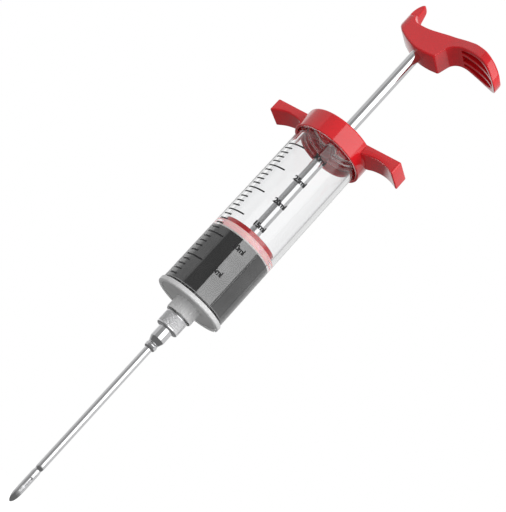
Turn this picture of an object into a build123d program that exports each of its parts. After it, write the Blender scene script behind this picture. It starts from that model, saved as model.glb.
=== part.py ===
"""Meat injector with a 30 ml clear barrel, a half-drawn plunger and a side-port needle.

Units are millimetres.  The Z axis is the axis of the barrel, with the palm handle up and
the needle down.  The origin is on that axis at the underside of the barrel's foot.
The wings of the cap and the palm rest of the handle point along X.
"""
import math
import os

from build123d import *

# --- Barrel ---------------------------------------------------------------------------
barrel_bore = 23.5            # diameter that the piston runs in
barrel_wall = 2.05
barrel_floor = 2.0            # thickness of the floor under the chamber
barrel_length = 86.0          # underside of the foot to the open rim
floor_corner_radius = 1.3     # between the chamber's wall and its floor
foot_overhang = 0.5           # how far the foot stands out from the barrel
foot_height = 1.8
foot_edge_radius = 0.45
foot_rim_width = 1.5          # raised rim round the underside of the foot
foot_recess_depth = 0.45
outlet_diameter = 2.2

# --- Nozzle boss and its threaded socket -----------------------------------------------
boss_diameter = 10.7
boss_length = 5.6
boss_edge_radius = 0.5
socket_diameter = 8.0
socket_depth = 5.4

# --- Needle, hub and nut ---------------------------------------------------------------
needle_diameter = 3.1
needle_bore = 2.2
needle_reach = 92.8           # foot of the barrel to the point of the needle
point_length = 4.6
needle_tip_diameter = 0.4
neck_diameter = 2.75          # swaged neck above the point
neck_height = 80.0            # middle of the neck, below the foot of the barrel
neck_length = 6.0
port_length = 4.4             # side ports that the marinade leaves by
port_width = 1.0
port_height = 84.2            # middle of the ports, below the foot of the barrel
port_turn = -44.0             # direction that the first port faces, degrees from X
hub_diameter = 5.9
hub_flange_diameter = 7.4
hub_flange_thickness = 1.2
hub_shoulder_height = 16.7    # where the hub starts to taper, below the foot
hub_end_height = 19.0
hub_end_diameter = 4.2
ferrule_diameter = 4.8
ferrule_length = 2.4
nut_diameter = 9.2
nut_grip_length = 6.2
nut_chamfer = 0.45
nut_grooves = 40
nut_groove_depth = 0.18
nozzle_gasket_thickness = 1.0
nozzle_gasket_hole = 3.2

# --- Plunger -----------------------------------------------------------------------------
rest_fill_ml = 11.8           # marinade in the barrel with the plunger as drawn
rod_diameter = 4.8
rod_exposed_length = 101.9    # top of the piston to the underside of the handle
rod_end_chamfer = 0.3
rod_tail_diameter = 2.8       # threaded tail below the piston
rod_head_diameter = 4.0       # threaded head inside the handle
piston_disc_thickness = 1.8
piston_edge_radius = 0.3
seal_height = 2.5
seal_inner_diameter = 14.0
seal_groove_depth = 0.35
plate_thickness = 0.6
nut_pocket_diameter = 7.4
piston_nut_flats = 5.5
piston_nut_height = 1.9

# --- Cap -----------------------------------------------------------------------------------
cap_diameter = 31.0
cap_skirt_wall = 1.2
cap_plate_thickness = 2.1
cap_skirt_length = 7.2        # below the gasket, over the barrel
cap_edge_radius = 0.7
cap_gasket_thickness = 0.8
cap_gasket_width = 1.7
wing_span = 62.0              # tip to tip
wing_width = 10.4
wing_tip_height = 6.2
wing_root_height = 4.6
wing_waist_height = 3.8       # thinnest part, part of the way out
wing_edge_radius = 0.5
wing_corner_radius = 0.9

# --- Handle ----------------------------------------------------------------------------------
handle_half_width = 5.35      # across the boss that the rod goes into
handle_boss_depth = 10.1      # underside of the boss to the top of the handle, at the rod
palm_reach = 37.0             # rod to the end of the palm rest
palm_half_width = 8.3         # widest part of the palm rest
palm_widest = 28.0            # where that is, from the rod
palm_crown = 1.6              # rise of the palm rest above the top at the rod
palm_fall = 0.7               # its widest part below the top at the rod
palm_droop = 5.9              # fall of its end below the top at the rod
palm_thickness = 4.3          # at the hollow behind the heel
palm_end_depth = 4.0
boss_heel = 10.0              # rod to the square heel of the boss
heel_drop = 0.7               # heel below the underside at the rod
hollow_run = 7.0              # heel to the top of the hollow under the palm rest
back_reach = 14.8             # rod to the round back of the handle
back_rise = 3.3               # underside halfway to the back, above that at the rod
saddle_rise = 4.2             # top at the foot of the horn, above that at the rod
horn_height = 12.3            # above the top at the rod
horn_root = 5.2               # thickness of the horn where it joins the top
horn_lean = 1.4               # tip of the horn inward from the back
horn_tip_width = 2.0          # across the tip of the horn
slot_wall = 1.9               # wall round the slots under the palm rest
slot_skin = 1.5               # plastic left above them
slot_rib = 1.3
slot_start = 17.4             # inner end of the slots, from the rod
slot_start_half_width = 4.3
slot_ribs = 2
insert_diameter = 6.4
insert_length = 6.5
insert_cover = 2.2            # plastic left above the insert

# --- Clearances -------------------------------------------------------------------------------
running = 0.05                # radial, between a shaft and the hole it turns or slides in
seal_running = 0.03           # radial, seal in the bore
guide = 0.25                  # radial, piston disc in the bore
rod_guide = 0.10              # radial, rod in the cap
seat = 0.02                   # axial, between faces that meet across a joint
loose = 0.10                  # radial, between parts that don't turn on each other

# --- Worked out --------------------------------------------------------------------------------
ml_height = 1000 / (math.pi * barrel_bore**2 / 4)
barrel_diameter = barrel_bore + 2 * barrel_wall
foot_diameter = barrel_diameter + 2 * foot_overhang

socket_end = socket_depth - boss_length
gasket_low = socket_end - nozzle_gasket_thickness
hub_top = gasket_low - seat
flange_low = hub_top - hub_flange_thickness
nut_top = flange_low - seat
grip_top = -boss_length - seat
grip_low = grip_top - nut_grip_length
ferrule_top = -hub_end_height
ferrule_low = ferrule_top - ferrule_length

piston_low = barrel_floor + rest_fill_ml * ml_height
seal_low = piston_low + plate_thickness
seal_top = seal_low + seal_height
piston_top = seal_top + piston_disc_thickness
nut_pocket_top = piston_low + piston_nut_height + 2 * seat

gasket_seat = barrel_length + seat
cap_plate_low = gasket_seat + cap_gasket_thickness + seat
cap_top = cap_plate_low + cap_plate_thickness
cap_low = cap_plate_low - cap_skirt_length
cap_inner_diameter = cap_diameter - 2 * cap_skirt_wall
wing_root = (cap_diameter - cap_skirt_wall) / 2
wing_waist = (wing_root + wing_span / 2) / 2

handle_low = piston_top + rod_exposed_length
handle_top = handle_low + handle_boss_depth
insert_top = handle_top - insert_cover
insert_low = insert_top - insert_length
heel = handle_low - heel_drop
palm_top = handle_top + palm_crown
palm_end = handle_top - palm_droop
horn_foot = handle_top + palm_crown
horn_top = handle_top + horn_height
rib_pitch = (2 * (palm_half_width - slot_wall) + slot_rib) / (slot_ribs + 1)


def disc(diameter, low, high, mode=Mode.ADD):
    """A round plug on the Z axis, inside the part being built."""
    with BuildSketch(Plane.XY.offset(low)) as outline:
        Circle(diameter / 2)
    extrude(outline.sketch, amount=high - low, mode=mode)


# === Barrel ======================================================================================
with BuildPart() as barrel:
    disc(barrel_diameter, 0, barrel_length)
    disc(foot_diameter, 0, foot_height)
    foot_edges = barrel.edges().filter_by(GeomType.CIRCLE)
    fillet([e for e in foot_edges if abs(e.radius - foot_diameter / 2) < 1e-6], foot_edge_radius)
    disc(foot_diameter - 2 * foot_rim_width, 0, foot_recess_depth, Mode.SUBTRACT)
    disc(boss_diameter, -boss_length, foot_recess_depth)
    fillet(barrel.faces().sort_by(Axis.Z)[0].edges(), boss_edge_radius)
    disc(barrel_bore, barrel_floor, barrel_length, Mode.SUBTRACT)
    floor_edge = barrel.edges().filter_by(GeomType.CIRCLE).filter_by_position(
        Axis.Z, barrel_floor - seat, barrel_floor + seat)
    fillet(floor_edge, floor_corner_radius)
    disc(socket_diameter, -boss_length, socket_end, Mode.SUBTRACT)
    disc(outlet_diameter, socket_end, barrel_floor, Mode.SUBTRACT)

# === Marinade in the chamber below the piston ====================================================
with BuildPart() as marinade:
    disc(barrel_bore - 2 * loose, barrel_floor + seat, piston_low - seat)
    fillet(marinade.faces().sort_by(Axis.Z)[0].edges(), floor_corner_radius)

# === Needle: hub, tube, ferrule, nut and gasket ==================================================
with BuildPart() as nozzle_gasket:
    disc(socket_diameter - 2 * loose, gasket_low, socket_end)
    disc(nozzle_gasket_hole, gasket_low, socket_end, Mode.SUBTRACT)

with BuildPart() as needle_hub:
    disc(hub_flange_diameter, flange_low, hub_top)
    disc(hub_diameter, -hub_shoulder_height, flange_low)
    with BuildSketch(Plane.XY.offset(-hub_shoulder_height)):
        Circle(hub_diameter / 2)
    with BuildSketch(Plane.XY.offset(-hub_end_height)):
        Circle(hub_end_diameter / 2)
    loft()
    disc(needle_diameter, -hub_end_height, hub_top, Mode.SUBTRACT)

with BuildPart() as needle_ferrule:
    disc(ferrule_diameter, ferrule_low, ferrule_top)
    fillet(needle_ferrule.edges(), (ferrule_diameter - needle_diameter) / 4)
    disc(needle_diameter, ferrule_low, ferrule_top, Mode.SUBTRACT)

with BuildPart() as needle_tube:
    disc(needle_diameter, point_length - needle_reach, hub_top)
    with BuildSketch(Plane.XY.offset(point_length - needle_reach)):
        Circle(needle_diameter / 2)
    with BuildSketch(Plane.XY.offset(-needle_reach)):
        Circle(needle_tip_diameter / 2)
    loft()
    with BuildSketch(Plane.XZ):
        with Locations((needle_diameter / 2, -neck_height)):
            Ellipse((needle_diameter - neck_diameter) / 2, neck_length / 2)
    revolve(axis=Axis.Z, mode=Mode.SUBTRACT)
    disc(needle_bore, -port_height - port_length, hub_top, Mode.SUBTRACT)
    port_plane = Plane(origin=(0, 0, -port_height), x_dir=(0, 0, 1),
                       z_dir=(math.cos(math.radians(port_turn)), math.sin(math.radians(port_turn)), 0))
    with BuildSketch(port_plane):
        SlotOverall(port_length, port_width)
    extrude(amount=needle_diameter, both=True, mode=Mode.SUBTRACT)

with BuildPart() as knurled_nut:
    disc(socket_diameter - 2 * running, grip_top, nut_top)
    disc(nut_diameter, grip_low, grip_top)
    grip_edges = knurled_nut.edges().filter_by(GeomType.CIRCLE)
    chamfer([e for e in grip_edges if abs(e.radius - nut_diameter / 2) < 1e-6], nut_chamfer)
    with BuildSketch(Plane.XY.offset(grip_low)):
        with PolarLocations(nut_diameter / 2, nut_grooves):
            RegularPolygon(nut_groove_depth, 4)
    extrude(amount=nut_grip_length, mode=Mode.SUBTRACT)
    disc(hub_diameter + 2 * running, grip_low, nut_top, Mode.SUBTRACT)

# === Piston ======================================================================================
with BuildPart() as piston_core:
    disc(barrel_bore - 2 * guide, seal_top, piston_top)
    disc(seal_inner_diameter - 2 * loose, piston_low, seal_top)
    disc(nut_pocket_diameter, piston_low, nut_pocket_top, Mode.SUBTRACT)
    disc(rod_tail_diameter + 2 * running, nut_pocket_top, piston_top, Mode.SUBTRACT)
    fillet(piston_core.faces().sort_by(Axis.Z)[-1].edges().sort_by(SortBy.RADIUS)[-1], piston_edge_radius)

with BuildPart() as piston_seal:
    seal_radius = barrel_bore / 2 - seal_running
    seal_middle = (seal_low + seal_top) / 2
    with BuildSketch(Plane.XZ):
        with BuildLine():
            Polyline(
                (seal_inner_diameter / 2, seal_low),
                (seal_radius, seal_low),
                (seal_radius, seal_middle - seal_height / 5),
                (seal_radius - seal_groove_depth, seal_middle),
                (seal_radius, seal_middle + seal_height / 5),
                (seal_radius, seal_top),
                (seal_inner_diameter / 2, seal_top),
                close=True,
            )
        make_face()
    revolve(axis=Axis.Z)

with BuildPart() as seal_plate:
    disc(barrel_bore - 2 * guide, piston_low, seal_low)
    disc(seal_inner_diameter, piston_low, seal_low, Mode.SUBTRACT)

# === Plunger rod and its nut =====================================================================
with BuildPart() as plunger_rod:
    disc(rod_diameter, piston_top + seat, insert_low)
    disc(rod_tail_diameter, piston_low, piston_top + seat)
    disc(rod_head_diameter, insert_low, insert_top - seat)
    tail_end = plunger_rod.faces().sort_by(Axis.Z)[0].edges()
    head_end = plunger_rod.faces().sort_by(Axis.Z)[-1].edges()
    chamfer(tail_end + head_end, rod_end_chamfer)

with BuildPart() as piston_nut:
    with BuildSketch(Plane.XY.offset(piston_low + seat)):
        RegularPolygon(piston_nut_flats / 2, 6, major_radius=False)
    extrude(amount=piston_nut_height)
    disc(rod_tail_diameter, piston_low, nut_pocket_top, Mode.SUBTRACT)

# === Cap =========================================================================================
with BuildPart() as cap_gasket:
    disc(barrel_diameter - 2 * loose, gasket_seat, gasket_seat + cap_gasket_thickness)
    disc(barrel_diameter - 2 * cap_gasket_width, gasket_seat, cap_plate_low, Mode.SUBTRACT)

with BuildPart() as wing:
    with BuildSketch(Plane.XZ):
        with BuildLine():
            Polyline(
                (wing_root, cap_top - wing_root_height),
                (wing_root, cap_top),
                (wing_span / 2, cap_top),
                (wing_span / 2, cap_top - wing_tip_height),
            )
            ThreePointArc(
                (wing_span / 2, cap_top - wing_tip_height),
                (wing_waist, cap_top - wing_waist_height),
                (wing_root, cap_top - wing_root_height),
            )
        make_face()
    extrude(amount=wing_width / 2, both=True)
    fillet(wing.edges().filter_by(Axis.Z).group_by(Axis.X)[-1], wing_corner_radius)
    fillet(wing.faces().sort_by(Axis.Z)[-1].edges().group_by(Axis.X)[1:], wing_edge_radius)

with BuildPart() as barrel_cap:
    disc(cap_diameter, cap_low, cap_top)
    fillet(barrel_cap.faces().sort_by(Axis.Z)[-1].edges(), cap_edge_radius)
    with PolarLocations(0, 2):
        add(wing.part)
    disc(cap_inner_diameter, cap_low, cap_plate_low, Mode.SUBTRACT)
    disc(rod_diameter + 2 * rod_guide, cap_plate_low, cap_top, Mode.SUBTRACT)

# === Handle: palm rest on the +X side, thumb horn on the -X side =================================
with BuildPart() as horn:
    # Seen from the side, it leans in from the back to a blunt tip.
    with BuildSketch(Plane.XZ):
        with BuildLine():
            Polyline(
                (horn_root - back_reach, horn_foot),
                (-back_reach, horn_foot),
                (-back_reach, handle_top + horn_height / 4),
            )
            Spline(
                (-back_reach, handle_top + horn_height / 4),
                (horn_lean / 2 - back_reach, horn_top - horn_lean),
                (horn_lean - back_reach, horn_top),
            )
            Spline(
                (horn_lean - back_reach, horn_top),
                (horn_root - back_reach - horn_lean / 2, horn_top - horn_height / 2),
                (horn_root - back_reach, horn_foot),
            )
        make_face()
    extrude(amount=handle_half_width, both=True)
    # Seen from the back, it narrows to its tip.
    with BuildSketch(Plane.YZ) as taper:
        Polygon(
            (-handle_half_width, horn_foot),
            (handle_half_width, horn_foot),
            (horn_tip_width / 2, horn_top),
            (-horn_tip_width / 2, horn_top),
            align=None,
        )
    extrude(taper.sketch, amount=-2 * back_reach, mode=Mode.INTERSECT)

with BuildPart() as slots:
    # Slots up into the palm rest, with ribs left between them.
    with BuildSketch(Plane.XY.offset(heel)):
        with BuildLine() as slot_edge:
            Line((slot_start, 0), (slot_start, slot_start_half_width))
            Spline(
                (slot_start, slot_start_half_width),
                (palm_widest, palm_half_width - slot_wall),
                tangents=((1, 0), (1, 0)),
            )
            EllipticalCenterArc((palm_widest, 0), palm_reach - palm_widest - slot_wall,
                                palm_half_width - slot_wall, start_angle=0, arc_size=90)
            mirror(slot_edge.line, about=Plane.XZ)
        make_face()
        with Locations((palm_widest, rib_pitch / 2), (palm_widest, -rib_pitch / 2)):
            Rectangle(2 * palm_widest, slot_rib, mode=Mode.SUBTRACT)
    extrude(amount=palm_top - heel)
    # Their tops follow the top of the palm rest.
    with BuildSketch(Plane.XZ) as slot_tops:
        with BuildLine():
            Spline(
                (boss_heel, palm_top - slot_skin),
                (boss_heel + hollow_run, palm_top - slot_skin),
                (palm_widest, handle_top - palm_fall - slot_skin),
                (palm_reach, palm_end - slot_skin),
            )
            Polyline(
                (palm_reach, palm_end - slot_skin),
                (palm_reach, heel),
                (boss_heel, heel),
                (boss_heel, palm_top - slot_skin),
            )
        make_face()
    extrude(slot_tops.sketch, amount=palm_half_width, both=True, mode=Mode.INTERSECT)

with BuildPart() as handle:
    # Seen from the side: boss, square heel, hollow underside and drooping palm rest.
    with BuildSketch(Plane.XZ):
        with BuildLine():
            Spline(
                (palm_reach, palm_end - palm_end_depth),
                (palm_widest, handle_top - palm_fall - palm_thickness),
                (boss_heel + hollow_run, palm_top - palm_thickness),
                (boss_heel, heel),
            )
            Spline(
                (boss_heel, heel),
                (0, handle_low),
                (-back_reach / 2, handle_low + back_rise),
                (-back_reach, handle_top + palm_crown),
            )
            Polyline(
                (-back_reach, handle_top + palm_crown),
                (-back_reach, handle_top + saddle_rise),
                (horn_root - back_reach, handle_top + saddle_rise),
            )
            Spline(
                (horn_root - back_reach, handle_top + saddle_rise),
                ((horn_root - back_reach) / 2, handle_top + heel_drop),
                (0, handle_top),
            )
            Spline(
                (0, handle_top),
                (boss_heel + hollow_run, palm_top),
                (palm_widest, handle_top - palm_fall),
                (palm_reach, palm_end),
            )
            Line((palm_reach, palm_end), (palm_reach, palm_end - palm_end_depth))
        make_face()
    extrude(amount=palm_half_width, both=True)
    add(horn.part)

    # Seen from above: a rounded back, a narrow boss and an elliptical palm rest.
    with BuildSketch(Plane.XY.offset(heel)) as outline:
        with BuildLine() as side:
            back = JernArc(start=(-back_reach, 0), tangent=(0, 1), radius=handle_half_width,
                           arc_size=-90)
            Line(back @ 1, (boss_heel, handle_half_width))
            Spline(
                (boss_heel, handle_half_width),
                (palm_widest, palm_half_width),
                tangents=((1, 0), (1, 0)),
            )
            EllipticalCenterArc((palm_widest, 0), palm_reach - palm_widest, palm_half_width,
                                start_angle=0, arc_size=90)
            mirror(side.line, about=Plane.XZ)
        make_face()
    extrude(outline.sketch, amount=horn_top - heel, mode=Mode.INTERSECT)

    add(slots.part, mode=Mode.SUBTRACT)
    disc(insert_diameter, insert_low, insert_top, Mode.SUBTRACT)
    disc(rod_diameter + 2 * running, heel, insert_low, Mode.SUBTRACT)

with BuildPart() as handle_insert:
    disc(insert_diameter, insert_low, insert_top)
    disc(rod_head_diameter + 2 * running, insert_low, insert_top, Mode.SUBTRACT)


PARTS = {
    "barrel": barrel, "marinade": marinade, "nozzle_gasket": nozzle_gasket,
    "needle_hub": needle_hub, "needle_ferrule": needle_ferrule, "needle_tube": needle_tube,
    "knurled_nut": knurled_nut, "piston_core": piston_core, "piston_seal": piston_seal,
    "seal_plate": seal_plate, "plunger_rod": plunger_rod, "piston_nut": piston_nut,
    "cap_gasket": cap_gasket, "barrel_cap": barrel_cap,
    "handle": handle, "handle_insert": handle_insert,
}
os.makedirs("parts", exist_ok=True)
for label, built in PARTS.items():
    built.part.label = label
    export_step(built.part, f"parts/{label}.step")
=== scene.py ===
"""Looks of a meat injector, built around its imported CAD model.

Laid out as an add-on: sizes and colours are properties, each piece or group of like pieces
has an operator, and main() calls them in order.  Lengths are metres in the CAD's frame: the
barrel's axis is Z, and the underside of its foot is at zero.
"""
import math

import bmesh
import bpy
import numpy as np
from bpy.props import FloatProperty, FloatVectorProperty, IntProperty, PointerProperty
from mathutils import Matrix, Vector


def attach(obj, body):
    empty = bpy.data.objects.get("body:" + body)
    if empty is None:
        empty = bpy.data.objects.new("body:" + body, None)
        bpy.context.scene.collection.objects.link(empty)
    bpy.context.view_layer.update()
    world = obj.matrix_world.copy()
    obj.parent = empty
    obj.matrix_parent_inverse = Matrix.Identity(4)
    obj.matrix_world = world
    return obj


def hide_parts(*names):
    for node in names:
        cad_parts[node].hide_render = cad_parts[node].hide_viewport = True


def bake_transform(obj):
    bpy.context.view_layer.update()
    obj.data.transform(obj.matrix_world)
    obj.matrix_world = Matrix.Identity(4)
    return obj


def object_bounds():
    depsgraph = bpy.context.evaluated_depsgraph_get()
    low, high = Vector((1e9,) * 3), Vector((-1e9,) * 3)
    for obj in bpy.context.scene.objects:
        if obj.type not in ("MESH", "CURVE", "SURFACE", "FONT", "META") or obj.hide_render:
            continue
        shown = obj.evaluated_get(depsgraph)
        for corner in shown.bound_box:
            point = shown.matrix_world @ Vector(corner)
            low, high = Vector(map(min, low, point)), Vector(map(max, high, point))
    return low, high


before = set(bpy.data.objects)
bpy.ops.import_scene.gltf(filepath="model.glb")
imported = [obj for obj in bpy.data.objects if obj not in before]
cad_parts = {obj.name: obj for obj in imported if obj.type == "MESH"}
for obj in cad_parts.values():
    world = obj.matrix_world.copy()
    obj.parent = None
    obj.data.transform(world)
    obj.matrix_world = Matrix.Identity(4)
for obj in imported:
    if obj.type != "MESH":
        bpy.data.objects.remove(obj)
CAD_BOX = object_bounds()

bl_info = {
    "name": "Meat injector",
    "version": (1, 0, 0),
    "blender": (4, 5, 0),
    "location": "View3D > Sidebar > Injector",
    "description": "Builds the visible pieces and finishes of a meat injector",
    "category": "Object",
}

MM = 0.001
TURN = 2 * math.pi


# --- Properties ---------------------------------------------------------------------------

def length(name, description, millimetres):
    """A length property, with its default given in millimetres."""
    return FloatProperty(name=name, description=description, default=millimetres * MM,
                         unit="LENGTH", subtype="DISTANCE", precision=5)


def colour(name, description, red, green, blue):
    """A linear colour property."""
    return FloatVectorProperty(name=name, description=description, default=(red, green, blue),
                               size=3, min=0.0, max=1.0, subtype="COLOR")


class BarrelSizes(bpy.types.PropertyGroup):
    """Barrel, foot, nozzle boss and printed scale."""

    bore: length("Bore radius", "Inside of the barrel", 11.75)
    outside: length("Outside radius", "Outside of the barrel", 13.8)
    top: length("Rim", "Height of the open rim", 86.0)
    floor: length("Floor", "Top of the floor under the chamber", 2.0)
    foot: length("Foot radius", "Disc at the bottom of the barrel", 14.3)
    foot_height: length("Foot height", "Thickness of the foot's edge", 1.8)
    rim_width: length("Rim width", "Raised rim under the foot", 1.5)
    recess: length("Recess", "Depth of the recess inside the foot's rim", 0.45)
    boss: length("Boss radius", "Outside of the nozzle boss", 5.35)
    boss_drop: length("Boss length", "Length of the nozzle boss", 5.6)
    socket: length("Socket radius", "Threaded socket in the boss", 4.0)
    outlet: length("Outlet radius", "Hole from the chamber to the socket", 1.1)
    thread: length("Thread height", "Height of the screw thread for the cap", 0.38)
    pitch: length("Thread pitch", "Rise of the cap's thread in one turn", 2.6)
    per_ml: length("Millilitre", "Height of one millilitre in the bore", 2.3056)
    tick: length("Tick thickness", "Thickness of the printed lines", 0.62)
    glyph: length("Figure height", "Height of the printed figures", 2.1)
    full_scale: IntProperty(name="Full scale", description="Highest mark, in millilitres",
                            default=30, min=5, max=60)


class PistonSizes(bpy.types.PropertyGroup):
    """Piston, seal, plate and rod."""

    disc: length("Disc radius", "Red disc above the seal", 11.5)
    disc_low: length("Disc underside", "Underside of the red disc", 32.307)
    disc_top: length("Disc top", "Top of the red disc", 34.107)
    seal_low: length("Seal underside", "Underside of the seal", 29.807)
    plate_low: length("Plate underside", "Underside of the plate below the seal", 29.207)
    rod: length("Rod radius", "Plunger rod", 2.4)
    rod_end: length("Rod end", "Top of the rod, inside the handle", 142.0)


class CapSizes(bpy.types.PropertyGroup):
    """Screw cap and its finger wings."""

    radius: length("Cap radius", "Outside of the cap", 15.5)
    wall: length("Skirt wall", "Thickness of the skirt", 1.2)
    low: length("Cap underside", "Lower edge of the skirt", 79.64)
    plate: length("Plate underside", "Underside of the cap's plate", 86.84)
    top: length("Cap top", "Top of the cap", 88.94)
    hole: length("Hole radius", "Hole that the rod slides in", 2.5)
    reach: length("Wing reach", "Axis to the tip of a wing", 31.0)
    half_width: length("Wing half-width", "Half the width of a wing", 5.2)
    edge: length("Edge radius", "Rounding of the edges", 0.7)


class HandleSizes(bpy.types.PropertyGroup):
    """Palm handle with its thumb horn and the slots under the palm rest."""

    back: length("Back reach", "Rod to the round back", 14.4)
    half_width: length("Boss half-width", "Half the width at the rod", 5.35)
    heel: length("Heel", "Rod to the square heel of the boss", 10.0)
    widest: length("Widest place", "Rod to the widest part of the palm rest", 28.0)
    palm: length("Palm half-width", "Half the width of the palm rest", 8.3)
    reach: length("Palm reach", "Rod to the end of the palm rest", 37.0)
    edge: length("Edge radius", "Rounding of the edges", 0.8)
    wall: length("Slot wall", "Wall round the slots", 1.9)
    skin: length("Slot skin", "Plastic above the slots", 1.6)
    rib: length("Rib", "Ribs between the slots", 1.3)
    slots: length("Slot start", "Rod to the inner end of the slots", 17.4)
    horn_root: length("Horn root", "Half-width of the horn just above the knuckle", 2.7)
    horn_tip: length("Horn tip", "Half-width of the horn near its tip", 1.9)


class NeedleSizes(bpy.types.PropertyGroup):
    """Needle, hub, bead and knurled nut."""

    tube: length("Needle radius", "Needle tube", 1.55)
    point: length("Point", "Foot of the barrel to the needle's point", 92.8)
    point_run: length("Point length", "Length of the tapered point", 4.6)
    neck: length("Neck", "Foot of the barrel to the middle of the neck", 78.6)
    port: length("Port", "Foot of the barrel to the middle of the side ports", 84.2)
    port_run: length("Port length", "Length of a side port", 4.4)
    port_width: length("Port width", "Width of a side port", 1.1)
    hub: length("Hub radius", "Straight part of the hub", 2.95)
    shoulder: length("Shoulder", "Foot to where the hub tapers", 16.7)
    hub_end: length("Hub end", "Foot to the small end of the hub", 19.0)
    bead: length("Bead radius", "Bead round the tube below the hub", 2.4)
    bead_run: length("Bead length", "Length of the bead", 2.4)
    nut: length("Nut radius", "Knurled grip of the nut", 4.6)
    nut_low: length("Nut underside", "Foot to the underside of the nut", 11.82)
    nut_top: length("Nut top", "Foot to the top of the grip", 5.62)
    knurl: length("Knurl depth", "Depth of the knurling", 0.16)


class Finishes(bpy.types.PropertyGroup):
    """Base colours of the materials."""

    red: colour("Red plastic", "Cap, handle and piston disc", 0.66, 0.012, 0.018)
    clear: colour("Clear plastic", "Barrel", 0.972, 0.974, 0.978)
    frost: colour("Frosted plastic", "Foot's rim and nozzle boss", 0.98, 0.98, 0.98)
    # Painted shade: a darker grey copy of the frosted plastic for the recess under the foot.
    frost_shade: colour("Shaded frosted plastic", "Recess under the foot", 0.66, 0.66, 0.66)
    marinade: colour("Marinade", "Dark liquid", 0.19, 0.19, 0.19)
    seal: colour("Seal", "Pale translucent silicone", 0.97, 0.60, 0.60)
    gasket: colour("Gasket", "White silicone", 0.80, 0.80, 0.78)
    steel: colour("Polished steel", "Rod and hub", 0.78, 0.78, 0.79)
    plating: colour("Plating", "Knurled nut", 0.86, 0.86, 0.87)
    brass: colour("Brass", "Threaded insert", 0.78, 0.60, 0.30)
    ink: colour("Ink", "Printed scale", 0.012, 0.012, 0.013)
    white: colour("White plastic", "Plate under the seal", 0.86, 0.85, 0.84)


# --- Shapes ---------------------------------------------------------------------------------

def make_mesh(name, points, quads, sharp=35.0):
    """A finished mesh from points and quads: doubles merged, normals outward, edges over the
    given angle sharp and the rest smooth."""
    mesh = bpy.data.meshes.new(name)
    mesh.from_pydata(np.asarray(points, float).reshape(-1, 3), [], np.asarray(quads).tolist())
    work = bmesh.new()
    work.from_mesh(mesh)
    bmesh.ops.remove_doubles(work, verts=work.verts, dist=0.002 * MM)
    bmesh.ops.dissolve_degenerate(work, edges=work.edges, dist=0.001 * MM)
    bmesh.ops.delete(work, geom=[e for e in work.edges if e.is_wire], context="EDGES")
    bmesh.ops.recalc_face_normals(work, faces=work.faces)
    work.to_mesh(mesh)
    work.free()
    mesh.polygons.foreach_set("use_smooth", np.ones(len(mesh.polygons), bool))
    mesh.set_sharp_from_angle(angle=math.radians(sharp))
    return mesh


def grid_quads(rows, columns, wrap_rows=True, wrap_columns=True):
    """Corner indices of the quads between neighbouring points of a grid.  A direction that
    wraps also joins its last points to its first."""
    index = np.arange(rows * columns).reshape(rows, columns)
    below = np.roll(index, -1, axis=0)
    right = np.roll(index, -1, axis=1)
    both = np.roll(below, -1, axis=1)
    quads = np.stack([index, right, both, below], axis=-1)
    quads = quads[: rows if wrap_rows else rows - 1, : columns if wrap_columns else columns - 1]
    return quads.reshape(-1, 4)


def rounded(corners, steps=6, support=0.12 * MM):
    """A closed outline with its corners rounded.

    corners holds (across, up, radius) rows.  Each corner becomes a rational quadratic curve
    from one tangent point to the other, weighted with the sine of half the corner's angle,
    which is a true arc.  A point a little outside each tangent point keeps long walls flat.
    """
    data = np.asarray(corners, float)
    place, radius = data[:, :2], data[:, 2]
    to_last = np.roll(place, 1, axis=0) - place
    to_next = np.roll(place, -1, axis=0) - place
    last_run = np.linalg.norm(to_last, axis=1)
    next_run = np.linalg.norm(to_next, axis=1)
    to_last = to_last / last_run[:, None]
    to_next = to_next / next_run[:, None]
    half = np.arccos(np.clip((to_last * to_next).sum(1), -1, 1)) / 2
    tangent = np.where(radius > 0, radius / np.tan(half), 0)
    tangent = np.minimum(tangent, 0.49 * np.minimum(last_run, next_run))
    s = np.linspace(0, 1, steps + 1)[None, :, None]
    start = (place + to_last * tangent[:, None])[:, None]
    end = (place + to_next * tangent[:, None])[:, None]
    weight = np.sin(half)[:, None, None]
    top = (1 - s) ** 2 * start + 2 * s * (1 - s) * weight * place[:, None] + s**2 * end
    arc = top / ((1 - s) ** 2 + 2 * s * (1 - s) * weight + s**2)
    extra_last = np.minimum(support, 0.4 * (last_run - tangent))
    extra_next = np.minimum(support, 0.4 * (next_run - tangent))
    before = start + (to_last * extra_last[:, None])[:, None]
    after = end + (to_next * extra_next[:, None])[:, None]
    return np.concatenate([before, arc, after], axis=1).reshape(-1, 2)


def lathe(name, profile, segments=128, relief=None, sharp=35.0):
    """A turned piece: the closed outline (radius, height) carried round the Z axis.

    relief(radius, height, angle) gives what is added to the radius at each point.
    """
    angle = np.linspace(0, TURN, segments, endpoint=False)[None, :]
    radius = np.repeat(profile[:, :1], segments, axis=1)
    height = np.repeat(profile[:, 1:], segments, axis=1)
    if relief is not None:
        radius = radius + relief(radius, height, angle)
    points = np.stack([radius * np.cos(angle), radius * np.sin(angle), height], axis=-1)
    return make_mesh(name, points, grid_quads(*radius.shape), sharp)


def smooth_step(value):
    """Rises from 0 to 1 as the value does, level at both ends: 3 t^2 - 2 t^3."""
    t = np.clip(value, 0, 1)
    return t * t * (3 - 2 * t)


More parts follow.
